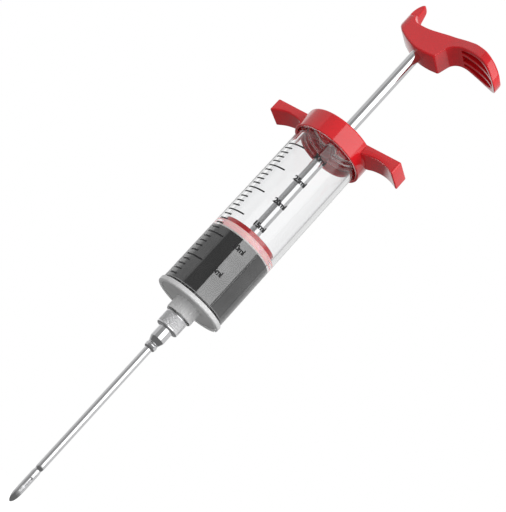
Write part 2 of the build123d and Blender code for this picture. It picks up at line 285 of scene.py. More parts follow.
def through(x, knots, values):
    """A smooth curve through the given points: cubic spans, whose slope at each point is the
    mean of the slopes of the spans beside it."""
    knots, values = np.asarray(knots, float), np.asarray(values, float)
    slopes = np.gradient(values, knots)
    i = np.clip(np.searchsorted(knots, x, side="right") - 1, 0, len(knots) - 2)
    run = knots[i + 1] - knots[i]
    t = np.clip((x - knots[i]) / run, 0, 1)
    return ((2 * t**3 - 3 * t**2 + 1) * values[i] + (t**3 - 2 * t**2 + t) * run * slopes[i]
            + (3 * t**2 - 2 * t**3) * values[i + 1] + (t**3 - t**2) * run * slopes[i + 1])


def place(name, mesh, body, slot, material, *nodes):
    """Puts a mesh in the scene as a piece that rides on a body and stands for CAD nodes."""
    piece = bpy.data.objects.new(name, mesh)
    bpy.context.scene.collection.objects.link(piece)
    mesh.materials.append(material)
    if body:
        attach(piece, body)
    if nodes:
        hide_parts(*nodes)
    return piece


# --- Materials --------------------------------------------------------------------------------

def shader(name, base, roughness, metallic=0.0, variation=0.06, scale=900.0, bump=0.02,
           rough_range=0.08, stretch=(1.0, 1.0, 1.0), **sockets):
    """A finish with a slow change of shade, finer change of roughness and a fine relief, all
    from noise on Object coordinates.  Other sockets of the shader are set to constants."""
    material = bpy.data.materials.get(f"{name}_finish")
    if material:
        return material
    material = bpy.data.materials.new(f"{name}_finish")
    material.use_nodes = True
    tree = material.node_tree
    make, join = tree.nodes.new, tree.links.new
    surface = tree.nodes["Principled BSDF"]
    surface.inputs["Metallic"].default_value = metallic
    for socket, value in sockets.items():
        surface.inputs[socket.replace("_", " ")].default_value = value

    where = make("ShaderNodeTexCoord")
    turn = make("ShaderNodeMapping")
    turn.inputs["Scale"].default_value = stretch
    join(where.outputs["Object"], turn.inputs["Vector"])

    slow = make("ShaderNodeTexNoise")
    slow.inputs["Scale"].default_value = scale / 18
    slow.inputs["Detail"].default_value = 3.0
    join(turn.outputs["Vector"], slow.inputs["Vector"])
    shade = make("ShaderNodeValToRGB")
    dark, light = shade.color_ramp.elements
    dark.position, light.position = 0.3, 0.7
    dark.color = [c * (1 - variation) for c in base] + [1.0]
    light.color = [min(1.0, c * (1 + variation)) for c in base] + [1.0]
    join(slow.outputs["Fac"], shade.inputs["Fac"])
    join(shade.outputs["Color"], surface.inputs["Base Color"])

    fine = make("ShaderNodeTexNoise")
    fine.inputs["Scale"].default_value = scale
    fine.inputs["Detail"].default_value = 4.0
    join(turn.outputs["Vector"], fine.inputs["Vector"])
    polish = make("ShaderNodeMapRange")
    polish.inputs["From Min"].default_value = 0.3
    polish.inputs["From Max"].default_value = 0.7
    polish.inputs["To Min"].default_value = max(0.0, roughness - rough_range / 2)
    polish.inputs["To Max"].default_value = roughness + rough_range / 2
    join(slow.outputs["Fac"], polish.inputs["Value"])
    join(polish.outputs["Result"], surface.inputs["Roughness"])

    relief = make("ShaderNodeBump")
    relief.inputs["Strength"].default_value = bump
    relief.inputs["Distance"].default_value = 0.05 * MM
    join(fine.outputs["Fac"], relief.inputs["Height"])
    join(relief.outputs["Normal"], surface.inputs["Normal"])
    return material


def red_plastic():
    """Glossy moulded plastic with a faint flow pattern."""
    return shader("red_plastic", bpy.context.scene.finishes.red, 0.10, variation=0.05,
                  scale=1400.0, bump=0.03, rough_range=0.04, IOR=1.55, Coat_Weight=0.5,
                  Coat_Roughness=0.03)


def clear_plastic():
    """Clear polished plastic."""
    return shader("clear_plastic", bpy.context.scene.finishes.clear, 0.012, variation=0.004,
                  scale=500.0, bump=0.004, rough_range=0.012, IOR=1.49, Transmission_Weight=1.0)


def frosted_plastic():
    """The same plastic with a fine matt mould finish, which looks milky."""
    return shader("frosted_plastic", bpy.context.scene.finishes.frost, 0.32, variation=0.03,
                  scale=900.0, bump=0.05, rough_range=0.1, IOR=1.49, Transmission_Weight=0.35)


def shaded_frost_plastic():
    """The same frosted plastic in a darker grey for the recess under the foot: painted shade on
    a face that looks down, and painted darkness of the liquid behind it.
    """
    return shader("shaded_frost_plastic", bpy.context.scene.finishes.frost_shade, 0.38, variation=0.12,
                  scale=3000.0, bump=0.15, rough_range=0.1, IOR=1.49, Transmission_Weight=0.2)


def dark_liquid():
    """Opaque dark marinade, glossy where it wets the clear wall."""
    return shader("marinade", bpy.context.scene.finishes.marinade, 0.02, metallic=1.0,
                  variation=0.12, scale=2400.0, bump=0.0, rough_range=0.02)


def seal_silicone():
    """Pale pink silicone that lets light in, with a little painted glow
    standing in for light scattered about in it."""
    return shader("seal_silicone", bpy.context.scene.finishes.seal, 0.30, variation=0.05,
                  scale=1800.0, bump=0.05, IOR=1.41, Subsurface_Weight=0.4,
                  # Emission: a painted glow, though the seal is no lamp.
                  Subsurface_Scale=1.2 * MM, Emission_Color=(1.0, 0.5, 0.5, 1.0),
                  Emission_Strength=0.25)


def gasket_silicone():
    """White silicone washers."""
    return shader("gasket_silicone", bpy.context.scene.finishes.gasket, 0.42, variation=0.05,
                  scale=1800.0, bump=0.05, IOR=1.41)


def polished_steel():
    """Steel polished along its length, with very fine lines round it."""
    return shader("polished_steel", bpy.context.scene.finishes.steel, 0.07, metallic=1.0,
                  variation=0.04, scale=900.0, bump=0.02, rough_range=0.05,
                  stretch=(1.0, 1.0, 3.0))


def needle_steel():
    """Drawn steel tube, with lines along it."""
    return shader("needle_steel", bpy.context.scene.finishes.steel, 0.14, metallic=1.0,
                  variation=0.06, scale=2600.0, bump=0.06, rough_range=0.10,
                  stretch=(1.0, 1.0, 0.06))


def nut_plating():
    """Bright plating over fine knurling."""
    return shader("nut_plating", bpy.context.scene.finishes.plating, 0.30, metallic=1.0,
                  variation=0.08, scale=1500.0, bump=0.08, rough_range=0.12)


def brass():
    """Machined brass."""
    return shader("brass_insert", bpy.context.scene.finishes.brass, 0.25, metallic=1.0,
                  variation=0.08, scale=1200.0, bump=0.08, stretch=(1.0, 1.0, 8.0))


def white_plastic():
    """White moulded plastic."""
    return shader("white_plastic", bpy.context.scene.finishes.white, 0.3, variation=0.03,
                  scale=1500.0, bump=0.03)


def scale_ink():
    """Printing ink, matt and slightly uneven."""
    return shader("scale_ink", bpy.context.scene.finishes.ink, 0.55, variation=0.3,
                  scale=4000.0, bump=0.1, IOR=1.45)


# --- Pieces -------------------------------------------------------------------------------------

class BuildBarrel(bpy.types.Operator):
    """Clear barrel with foot, nozzle boss and the screw thread for the cap"""

    bl_idname = "injector.barrel"
    bl_label = "Barrel"

    def execute(self, context):
        b = context.scene.barrel_sizes
        thread_low, thread_top = b.top - 5.8 * MM, b.top - 0.5 * MM
        socket_pitch, socket_thread = 1.4 * MM, 0.3 * MM
        rows = [(b.outside, z, 0) for z in np.arange(thread_top, thread_low, -0.13 * MM)]
        socket_low = -b.boss_drop
        bores = [(b.socket, z, 0) for z in np.arange(socket_low + 0.4 * MM, -0.4 * MM, 0.1 * MM)]
        profile = rounded([
            (b.outlet, b.floor, 0.2 * MM),
            (b.bore, b.floor, 1.3 * MM),
            (b.bore, b.top, 0.3 * MM),
            (b.outside, b.top, 0.3 * MM),
            *rows,
            (b.outside, b.foot_height, 0.25 * MM),
            (b.foot, b.foot_height, 0.45 * MM),
            (b.foot, 0, 0.45 * MM),
            (b.foot - b.rim_width, 0, 0.4 * MM),
            (b.foot - b.rim_width, b.recess, 0.25 * MM),
            (b.boss, b.recess, 0.5 * MM),
            (b.boss, socket_low, 0.5 * MM),
            (b.socket, socket_low, 0.2 * MM),
            *bores,
            (b.socket, -0.2 * MM, 0.1 * MM),
            (b.outlet, -0.2 * MM, 0.1 * MM),
        ])

        def relief(radius, height, angle):
            """Thread ridges: a peak once a pitch, climbing one pitch a turn and fading at
            its ends.  Outside near the rim for the cap, inside the boss for the nut."""
            phase = (height / b.pitch - angle / TURN) % 1
            ridge = smooth_step(1 - np.abs(phase - 0.5) / 0.28)
            fade = smooth_step((height - thread_low) / (0.5 * MM))
            fade = fade * smooth_step((thread_top - height) / (0.5 * MM))
            outer = b.thread * ridge * fade * (radius > b.outside - 0.1 * MM)
            turn = (height / socket_pitch - angle / TURN) % 1
            inner_fade = smooth_step(-(height + 0.5 * MM) / (0.4 * MM))
            inner_fade = inner_fade * smooth_step((height - socket_low - 0.4 * MM) / (0.3 * MM))
            inner = socket_thread * smooth_step(1 - np.abs(turn - 0.5) / 0.35) * inner_fade
            return outer + inner * (np.abs(radius - b.socket) < 0.01 * MM)

        mesh = lathe("barrel_clear", profile, 192, relief, 40.0)
        place("barrel_clear", mesh, "barrel", "clear_plastic", clear_plastic(), "barrel")

        # Frosted skins over the foot's rim, the recess inside it and the boss; the recess's skin is a
        # greyer copy with painted shade.
        skin, lid = 0.06 * MM, 0.12 * MM
        rib_count, rib_height = 36, 0.35 * MM
        inner_rim, face, low_boss = b.foot - b.rim_width, b.recess - skin, socket_low + 0.4 * MM
        rim = rounded([
            (b.foot - 0.3 * MM, b.foot_height, 0.05 * MM), (b.foot + skin, b.foot_height, 0.3 * MM),
            (b.foot + skin, -skin, 0.45 * MM), (inner_rim - skin, -skin, 0.35 * MM),
            (inner_rim - skin, face, 0.05 * MM), (inner_rim + lid, face, 0.05 * MM),
            (inner_rim + lid, lid, 0.1 * MM), (b.foot - lid, lid, 0.1 * MM),
            (b.foot - lid, b.foot_height - lid, 0.05 * MM),
            (b.foot - 0.3 * MM, b.foot_height - lid, 0.02 * MM),
        ], 4, 0.02 * MM)
        recess = rounded([(inner_rim + skin, face, 0), (inner_rim + skin, face + lid, 0),
                          (b.boss - skin, face + lid, 0), (b.boss - skin, face, 0)], 2, 0)
        boss = rounded([(b.boss + skin, face, 0.05 * MM), (b.boss + skin, low_boss, 0.3 * MM),
                        (b.boss - lid, low_boss, 0.05 * MM), (b.boss - lid, face, 0.02 * MM)], 4)

        def ripples(radius, height, angle):
            """Fine upright ribs round the boss, fading at its ends."""
            fade = smooth_step((face - height) / (0.6 * MM))
            fade = fade * smooth_step((height - low_boss) / (0.5 * MM)) * (radius > b.boss)
            return rib_height * (0.5 + 0.5 * np.cos(rib_count * angle)) * fade

        for name, outline, ribs, finish in (("foot_rim", rim, None, frosted_plastic),
                                            ("foot_recess", recess, None, shaded_frost_plastic),
                                            ("boss_ribbed", boss, ripples, frosted_plastic)):
            place(name, lathe(name, outline, 320, ribs, 40.0), "barrel", "clear_plastic", finish())
        return {"FINISHED"}


class BuildScale(bpy.types.Operator):
    """Printed volume scale: lines and figures on the outside of the barrel"""

    bl_idname = "injector.scale"
    bl_label = "Scale"

    def execute(self, context):
        b = context.scene.barrel_sizes
        marks = np.arange(b.full_scale + 1)
        start_at, short_to, long_to, figures_at = 234.0, 254.0, 272.8, 303.6
        start = math.radians(start_at)
        end = np.radians(np.where(marks % 5 == 0, long_to, short_to))
        share = np.concatenate([[0, 0], np.linspace(0, 1, 25), [1, 1]])
        angle = start + (end[:, None] - start) * share[None, :]
        across = np.array([-1, 1, 1, -1]) * b.tick / 2
        sunk, proud = -0.01 * MM, 0.035 * MM
        out = b.outside + np.array([sunk, sunk, proud, proud])
        closed = np.ones_like(share)
        closed[[0, -1]] = 0
        radius = out.mean() + (out - out.mean())[None, None, :] * closed[None, :, None]
        height = (b.floor + b.per_ml * marks)[:, None, None]
        height = height + across[None, None, :] * closed[None, :, None]
        radius = np.broadcast_to(radius, height.shape)
        points = np.stack([radius * np.cos(angle)[..., None], radius * np.sin(angle)[..., None],
                           height], axis=-1)
        one = grid_quads(len(share), 4, wrap_rows=False)
        quads = (one[None] + (np.arange(len(marks)) * len(share) * 4)[:, None, None]).reshape(-1, 4)
        mesh = make_mesh("scale_lines", points, quads)
        # What the rod and the liquid mirror, and what shows through the barrel from behind,
        # leaves the ink out.
        lines = place("scale_lines", mesh, "barrel", None, scale_ink())
        lines.visible_glossy = lines.visible_transmission = False

        middle = math.radians(figures_at)
        for mark in marks[5::5]:
            curve = bpy.data.curves.new("figures", "FONT")
            curve.body = f"{mark}ml"
            curve.align_x, curve.align_y = "CENTER", "CENTER"
            curve.size = b.glyph / 0.72
            curve.extrude = 0.02 * MM
            curve.offset = 0.13 * MM
            curve.resolution_u = 4
            curve.space_character = 0.92
            text = bpy.data.objects.new("figures", curve)
            context.scene.collection.objects.link(text)
            context.view_layer.update()
            flat = bpy.data.meshes.new_from_object(text)
            bpy.data.objects.remove(text)
            work = bmesh.new()
            work.from_mesh(flat)
            bmesh.ops.remove_doubles(work, verts=work.verts, dist=0.001 * MM)
            bmesh.ops.recalc_face_normals(work, faces=work.faces)
            work.to_mesh(flat)
            work.free()
            spot = np.zeros(len(flat.vertices) * 3)
            flat.vertices.foreach_get("co", spot)
            spot = spot.reshape(-1, 3)
            turned = middle + spot[:, 0] / b.outside
            out = b.outside + 0.012 * MM + spot[:, 2]
            wrapped = np.stack([out * np.cos(turned), out * np.sin(turned),
                                spot[:, 1] + b.floor + b.per_ml * mark], axis=-1)
            flat.vertices.foreach_set("co", wrapped.ravel())
            flat.update()
            figure = place(f"scale_{mark}ml", flat, "barrel", None, scale_ink())
            figure.visible_glossy = figure.visible_transmission = False
        return {"FINISHED"}


class BuildMarinade(bpy.types.Operator):
    """Dark liquid between the barrel's floor and the piston"""

    bl_idname = "injector.marinade"
    bl_label = "Marinade"

    def execute(self, context):
        b, p = context.scene.barrel_sizes, context.scene.piston_sizes
        wet = b.bore + 0.02 * MM
        low, high = b.floor - 0.02 * MM, p.plate_low - 0.03 * MM
        profile = rounded([(0, low, 0), (wet, low, 1.32 * MM), (wet, high, 0), (0, high, 0)], 8,
                          0.01 * MM)
        mesh = lathe("marinade_fill", profile, 160)
        piece = place("marinade_fill", mesh, None, "marinade", dark_liquid(), "marinade")
        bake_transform(piece)
        return {"FINISHED"}


class BuildPiston(bpy.types.Operator):
    """Piston disc, silicone seal and the white plate under it"""

    bl_idname = "injector.piston"
    bl_label = "Piston"

    def execute(self, context):
        b, p = context.scene.barrel_sizes, context.scene.piston_sizes
        inner, washer = 6.9 * MM, 7.0 * MM
        spigot_low = p.plate_low + 2 * MM
        disc = rounded([(0, spigot_low, 0), (inner, spigot_low, 0.1 * MM),
                        (inner, p.disc_low, 0.1 * MM), (p.disc, p.disc_low, 0.1 * MM),
                        (p.disc, p.disc_top, 0.3 * MM), (3.4 * MM, p.disc_top, 0.1 * MM),
                        (3.0 * MM, p.disc_top + 0.02 * MM, 0), (0, p.disc_top + 0.02 * MM, 0)])
        place("piston_disc", lathe("piston_disc", disc, 160), "piston", "red_plastic",
              red_plastic(), "piston_core")
        lip = b.bore + 0.01 * MM
        groove = lip - 0.12 * MM
        middle = (p.seal_low + p.disc_low) / 2
        seal = rounded([(washer, p.seal_low, 0.1 * MM), (lip, p.seal_low, 0.25 * MM),
                        (lip, middle - 0.35 * MM, 0.25 * MM), (groove, middle, 0.2 * MM),
                        (lip, middle + 0.35 * MM, 0.25 * MM), (lip, p.disc_low, 0.25 * MM),
                        (washer, p.disc_low, 0.1 * MM)])
        # The seal's finish carries a painted glow.
        place("piston_ring", lathe("piston_ring", seal, 160), "piston", "seal_silicone",
              seal_silicone(), "piston_seal")
        plate = rounded([(washer, p.plate_low, 0.1 * MM), (b.bore, p.plate_low, 0.2 * MM),
                         (b.bore, p.seal_low, 0.1 * MM), (washer, p.seal_low, 0.1 * MM)])
        place("piston_plate", lathe("piston_plate", plate, 160), "piston", "white_plastic",
              white_plastic(), "seal_plate")
        return {"FINISHED"}


class BuildRod(bpy.types.Operator):
    """Polished plunger rod"""

    bl_idname = "injector.rod"
    bl_label = "Rod"

    def execute(self, context):
        p = context.scene.piston_sizes
        tail = 1.5 * MM
        profile = rounded([(0, p.plate_low + 0.1 * MM, 0), (tail, p.plate_low + 0.1 * MM, 0.2 * MM),
                           (tail, p.disc_top, 0.1 * MM), (p.rod, p.disc_top, 0.25 * MM),
                           (p.rod, p.rod_end, 0.3 * MM), (0, p.rod_end, 0)])
        place("rod_polished", lathe("rod_polished", profile, 96), "plunger", "polished_steel",
              polished_steel(), "plunger_rod")
        return {"FINISHED"}


class BuildCap(bpy.types.Operator):
    """Screw cap with its two finger wings"""

    bl_idname = "injector.cap"
    bl_label = "Cap"

    def execute(self, context):
        c = context.scene.cap_sizes
        inside = c.radius - c.wall
        ring = rounded([(c.radius, c.low, 0.35 * MM), (c.radius, c.top, 0.9 * MM),
                        (c.hole, c.top, 0.2 * MM), (c.hole, c.plate, 0.2 * MM),
                        (inside, c.plate, 0.4 * MM), (inside, c.low, 0.3 * MM)])
        place("cap_ring", lathe("cap_ring", ring, 192), "cap", "red_plastic", red_plastic(),
              "barrel_cap")

        root = c.radius - 0.9 * MM
        turn = np.linspace(0, math.pi / 2, 9)
        x = np.concatenate([[root, root], np.linspace(root, c.reach - c.edge, 60)[1:-1],
                            c.reach - c.edge + c.edge * np.sin(turn)])
        inset = np.zeros_like(x)
        inset[-len(turn):] = c.edge * (1 - np.cos(turn))
        low = through(x, np.array([14.0, 15.5, 17.5, 20.2, 23.5, 27.0, 31.2]) * MM,
                      np.array([84.1, 84.3, 84.85, 85.2, 85.15, 84.4, 82.72]) * MM)
        # Each section is a rounded rectangle, shrunk at the tip by the edge's rounding.
        middle, half = (c.top + low) / 2, (c.top - low) / 2
        corner = c.edge * np.array([[1, 1], [-1, 1], [-1, -1], [1, -1]])
        sweep = np.linspace(0, math.pi / 2, 6)
        around = (np.arange(4)[:, None] * math.pi / 2 + sweep[None, :]).ravel()
        signs = np.repeat(corner, len(sweep), axis=0)
        side = np.sign(signs[:, 0]) * (c.half_width - c.edge)
        side = side[None, :] + (c.edge - inset)[:, None] * np.cos(around)[None, :]
        up = np.sign(signs[:, 1])[None, :] * (half - c.edge)[:, None]
        up = up + (c.edge - inset)[:, None] * np.sin(around)[None, :] + middle[:, None]
        points = np.stack([np.broadcast_to(x[:, None], side.shape), side, up], axis=-1)
        # The ends close on their middles.
        points = np.concatenate([
            np.broadcast_to(points[:1].mean(axis=1, keepdims=True), points[:1].shape), points,
            np.broadcast_to(points[-1:].mean(axis=1, keepdims=True), points[-1:].shape)])
        quads = grid_quads(*points.shape[:2], wrap_rows=False)
        for name, way in (("wing_front", 1), ("wing_back", -1)):
            mesh = make_mesh(name, points * np.array([way, way, 1]), quads, 40.0)
            place(name, mesh, "cap", "red_plastic", red_plastic())
        return {"FINISHED"}


class BuildHandle(bpy.types.Operator):
    """Palm handle: boss, square heel, drooping slotted palm rest and thumb horn"""

    bl_idname = "injector.handle"
    bl_label = "Handle"

    def half_width(self, h, x):
        """Half-width seen from above: a circle round the back, a straight boss, an easing
        curve to the widest place and then an ellipse to the tip."""
        round_back = np.sqrt(np.clip(h.half_width**2 - (x - h.half_width + h.back)**2, 0, None))
        grow = smooth_step((x - h.heel) / (h.widest - h.heel))
        swelling = h.half_width + (h.palm - h.half_width) * grow
        past = np.clip((x - h.widest) / (h.reach - h.widest), 0, 1)
        tip = h.palm * np.sqrt(1 - past**2)
        width = np.where(x < h.half_width - h.back, round_back, swelling)
        return np.where(x > h.widest, tip, width)

    def slot_half_width(self, h, x):
        """Half-width of the slotted area: the outline less the wall, from its inner end to
        an ellipse at the tip."""
        grow = smooth_step((x - h.heel) / (h.widest - h.heel))
        swelling = h.half_width + (h.palm - h.half_width) * grow - h.wall
        past = np.clip((x - h.widest) / (h.reach - h.wall - h.widest), 0, 1)
        tip = (h.palm - h.wall) * np.sqrt(1 - past**2)
        inner = np.where(x > h.widest, tip, swelling)
        return np.where(x > h.slots, inner, 0)

    def execute(self, context):
        h = context.scene.handle_sizes
        quarter = np.linspace(0, math.pi / 2, 30)
        inner_end = h.reach - h.wall
        x = np.unique(np.round(np.concatenate([
            -h.back + h.half_width * (1 - np.cos(quarter)),
            np.arange(-14.2, -8.0, 0.13) * MM,
            np.arange(-8.0, -3.0, 0.4) * MM,
            np.arange(-3.0, 9.5, 0.5) * MM,
            np.arange(9.5, 14.0, 0.2) * MM,
            np.arange(14.0, 28.0, 0.5) * MM,
            [h.slots, h.slots + 0.02 * MM],
            h.widest + (h.reach - h.widest) * np.sin(quarter),
            h.widest + (inner_end - h.widest) * np.sin(quarter),
        ]), 8))
        top = through(x, np.array([
            -14.5, -14.3, -14.1, -13.95, -13.8, -13.5, -13.0, -12.5, -12.0, -11.5, -11.1, -10.7,
            -10.2, -9.7, -9.2, -8.6, -7.8, -6.5, -4, 0, 3, 6, 9, 12, 15, 18, 20, 22, 24, 26, 28,
            30, 32, 34, 36, 37.5]) * MM, np.array([
                148.6, 149.6, 150.3, 151.5, 153.0, 155.0, 156.6, 157.5, 157.9, 157.6, 156.7,
                154.9, 152.4, 150.4, 149.1, 148.1, 147.3, 146.7, 146.4, 146.3, 146.6, 147.0,
                147.4, 147.6, 147.7, 147.6, 147.4, 147.2, 146.75, 146.2, 145.6, 144.8, 143.9,
                142.9, 141.6, 140.3]) * MM)
        low = through(x, np.array([
            -14.5, -14.2, -13.6, -12.7, -11, -8, -4, 0, 3, 6, 9, 9.8, 10.2, 10.8, 12, 13, 14.5,
            16, 18, 20, 22, 24, 26, 28, 30, 32, 34, 36, 37.5]) * MM, np.array([
                147.4, 145.9, 144.5, 143.1, 141.4, 139.4, 137.4, 136.0, 135.45, 135.2, 135.25,
                135.3, 135.6, 137.3, 140.4, 141.6, 142.6, 143.1, 143.25, 143.05, 142.7, 142.3,
                141.8, 141.2, 140.5, 139.6, 138.5, 137.2, 136.0]) * MM)
        # The upper and lower edges are rounded over the ends too.
        from_end = np.minimum(x + h.back, h.reach - x)
        lost = h.edge - np.sqrt(h.edge**2 - np.clip(h.edge - from_end, 0, h.edge)**2)
        width = self.half_width(h, x)
        inner = self.slot_half_width(h, x)
        roof = top - h.skin
        top, low = top - lost, low + lost
        edge = np.minimum(h.edge, np.minimum(0.45 * width, 0.45 * (top - low)))

        # Half of each section, from the middle of the underside round to the middle of the top.
        lip = 0.2 * MM
        pitch = (2 * (h.palm - h.wall) + h.rib) / 3
        near = np.minimum((pitch - h.rib) / 2, inner)
        far = np.minimum((pitch + h.rib) / 2, inner)
        middle_roof = np.where(inner > 0.05 * MM, roof, low)
        side_roof = np.where(inner - far > 0.05 * MM, roof, low)
        lip_mid = np.where(inner > 0.05 * MM, lip, 0)
        lip_side = np.where(inner - far > 0.05 * MM, lip, 0)
        limit = width - edge
        under = [
            (0 * x, middle_roof), (near, middle_roof), (near, low + lip_mid),
            (np.minimum(near + lip_mid, limit), low),
            (np.minimum(np.maximum(far - lip_side, near + lip_mid), limit), low),
            (far, low + lip_side), (far, side_roof), (inner, side_roof), (inner, low + lip_side),
            (np.minimum(inner + lip_side, limit), low),
        ]
        sweep = np.linspace(0, math.pi / 2, 6)
        y_rows = [np.minimum(np.maximum(y, 0), limit) for y, z in under]
        z_rows = [z for y, z in under]
        y_rows += [limit + edge * math.sin(a) for a in sweep]
        z_rows += [low + edge * (1 - math.cos(a)) for a in sweep]
        # Side: straight up, then in at the root of the horn and on to its narrower tip.
        horn_crown = 1.2 * MM * smooth_step((top - 149 * MM) / (4 * MM))
        crown = np.minimum(np.maximum(edge, horn_crown), 0.45 * width)
        for share in np.linspace(0, 1, 34)[1:-1]:
            height = low + edge + (top - crown - low - edge) * share
            y_rows.append(np.minimum(width, self.horn_half(h, height)))
            z_rows.append(height)
        shoulder = np.minimum(width, self.horn_half(h, top - crown))
        crown = np.minimum(crown, 0.8 * shoulder)
        for a in sweep:
            y_rows.append(shoulder - crown * (1 - math.cos(a)))
            z_rows.append(top - crown * (1 - math.sin(a)))
        y_rows.append(0 * x)
        z_rows.append(top)
        y, z = np.stack(y_rows, axis=1), np.stack(z_rows, axis=1)
        y = np.concatenate([y, -y[:, -2:0:-1]], axis=1)
        z = np.concatenate([z, z[:, -2:0:-1]], axis=1)
        points = np.stack([np.broadcast_to(x[:, None], y.shape), y, z], axis=-1)
        mesh = make_mesh("palm_handle", points, grid_quads(*y.shape, wrap_rows=False), 38.0)
        place("palm_handle", mesh, "plunger", "red_plastic", red_plastic(), "handle")
        return {"FINISHED"}

    def horn_half(self, h, height):
        """Half-width of the horn at a height: the full boss up to the knuckle, an easing curve
        in to its root, then a steady taper to its tip."""
        knuckle, root, tip = 148.3 * MM, 150.6 * MM, 158.0 * MM
        ease = smooth_step((height - knuckle) / (root - knuckle))
        boss = h.half_width + 0.2 * MM
        taper = (h.horn_tip - h.horn_root) * np.clip((height - root) / (tip - root), 0, 1)
        palm = np.where(height < knuckle, h.palm, 0)
        return np.maximum(boss + (h.horn_root - boss) * ease + taper, palm)


class BuildNeedle(bpy.types.Operator):
    """Needle tube with neck, side ports and point, its hub, bead and knurled nut"""

    bl_idname = "injector.needle"
    bl_label = "Needle"

    def execute(self, context):
        n = context.scene.needle_sizes
        # Tube: round, necked above the point and a little flattened round its side ports.
        tip, run = -n.point, n.point_run
        height = np.unique(np.round(np.concatenate([
            tip + run * (1 - np.cos(np.linspace(0, math.pi / 2, 28))),
            np.arange(-n.point + run, -n.neck + 3.5 * MM, 0.11 * MM),
            np.linspace(-n.neck + 3.6 * MM, -1.3 * MM, 16),
        ]), 8))[:, None]
        segments = 144
        angle = np.linspace(0, TURN, segments, endpoint=False)[None, :]
        neck = 0.22 * MM * np.exp(-((height + n.neck) / (0.75 * MM))**2)
        share = np.clip((height - tip) / run, 0, 1)
        radius = (n.tube - neck) * np.sqrt(np.clip(share * (2 - share), 0, 1)) ** 1.15
        port_at = math.radians(-44.0)
        turned = angle - port_at
        flat = smooth_step((-n.neck + 0.5 * MM - height) / (1.5 * MM)) * smooth_step(share)
        radius = radius * (1 - 0.09 * flat * np.cos(turned)**2)
        # Ports: a slot-shaped pocket on both sides, straight walls down to the bore.
        arc = n.tube * np.arcsin(np.clip(np.abs(np.sin(turned)), 0, 1))
        along = np.clip(np.abs(height + n.port) - (n.port_run - n.port_width) / 2, 0, None)
        reach = np.sqrt(arc**2 + along**2)
        port_depth = 0.75 * MM
        radius = radius - port_depth * smooth_step(
            (n.port_width / 2 + 0.04 * MM - reach) / (0.09 * MM))
        points = np.stack([radius * np.cos(angle), radius * np.sin(angle),
                           np.broadcast_to(height, radius.shape)], axis=-1)
        top_ring = np.broadcast_to(points[-1:].mean(axis=1, keepdims=True), points[-1:].shape)
        points = np.concatenate([points, top_ring])
        mesh = make_mesh("needle_steel", points, grid_quads(*points.shape[:2], wrap_rows=False), 45.0)
        place("needle_shaft", mesh, "needle", "needle_steel", needle_steel(), "needle_tube")

        flange, small = 3.7 * MM, 2.1 * MM
        flange_top, flange_low = -1.22 * MM, -2.42 * MM
        inner = n.tube + 0.02 * MM
        hub = rounded([(inner, flange_top, 0.1 * MM), (flange, flange_top, 0.1 * MM),
                       (flange, flange_low, 0.1 * MM), (n.hub, flange_low, 0.1 * MM),
                       (n.hub, -n.shoulder, 1.2 * MM), (small, -n.hub_end + 0.3 * MM, 0.5 * MM),
                       (small, -n.hub_end, 0.1 * MM), (inner, -n.hub_end, 0.1 * MM)], 8)
        place("hub_polished", lathe("hub_polished", hub, 96), "needle", "polished_steel",
              polished_steel(), "needle_hub")
        bead_low = -n.hub_end - n.bead_run
        bead = rounded([(inner, -n.hub_end, 0.1 * MM), (n.bead - 0.35 * MM, -n.hub_end, 0.3 * MM),
                        (n.bead, -n.hub_end - 0.75 * MM, 0.6 * MM),
                        (n.bead - 0.15 * MM, bead_low + 0.5 * MM, 0.6 * MM),
                        (inner + 0.25 * MM, bead_low, 0.2 * MM), (inner, bead_low, 0.05 * MM)], 8)
        place("bead_polished", lathe("bead_polished", bead, 96), "needle", "polished_steel",
              polished_steel(), "needle_ferrule")

        # Nut: a plain threaded neck inside the boss and a knurled grip between plain rims.
        collar, collar_top = 3.93 * MM, -2.5 * MM
        low, top = -n.nut_low, -n.nut_top
        band = 0.7 * MM
        rows = [(n.nut, z, 0) for z in np.arange(low + band, top - band, 0.09 * MM)]
        necks = [(collar, z, 0) for z in np.arange(top + 0.2 * MM, collar_top - 0.2 * MM,
                                                     0.1 * MM)]
        bore = n.hub + 0.05 * MM
        nut = rounded([(bore, low, 0.15 * MM), (n.nut - 0.35 * MM, low, 0.1 * MM),
                       (n.nut, low + 0.35 * MM, 0.1 * MM), *rows, (n.nut, top - 0.35 * MM, 0.1 * MM),
                       (n.nut - 0.35 * MM, top, 0.1 * MM), (collar, top, 0.05 * MM), *necks,
                       (collar, collar_top, 0.1 * MM), (bore, collar_top, 0.1 * MM)], 3)

        def relief(radius, height, angle):
            """Diamond knurl: two sets of V grooves, one climbing each way round the grip; and
            a thread on the neck, one ridge a pitch."""
            teeth, rise, pitch, thread = 44, 0.9 * MM, 1.4 * MM, 0.28 * MM
            left = np.abs((angle / TURN * teeth + height / rise) % 1 - 0.5) * 2
            right = np.abs((angle / TURN * teeth - height / rise) % 1 - 0.5) * 2
            groove = np.maximum(1 - left / 0.45, 0) + np.maximum(1 - right / 0.45, 0)
            fade = smooth_step((height - low - band) / (0.25 * MM))
            fade = fade * smooth_step((top - band - height) / (0.25 * MM))
            grip = -n.knurl * np.minimum(groove, 1) * fade * (radius > n.nut - 0.05 * MM)
            phase = (height / pitch - angle / TURN) % 1
            cut = smooth_step(1 - np.abs(phase - 0.5) / 0.4) * (height > top + 0.3 * MM)
            return grip - thread * cut * (np.abs(radius - collar) < 0.01 * MM)

        place("nut_knurled", lathe("nut_knurled", nut, 308, relief, 60.0), "nut", "nut_plating",
              nut_plating(), "knurled_nut")
        return {"FINISHED"}


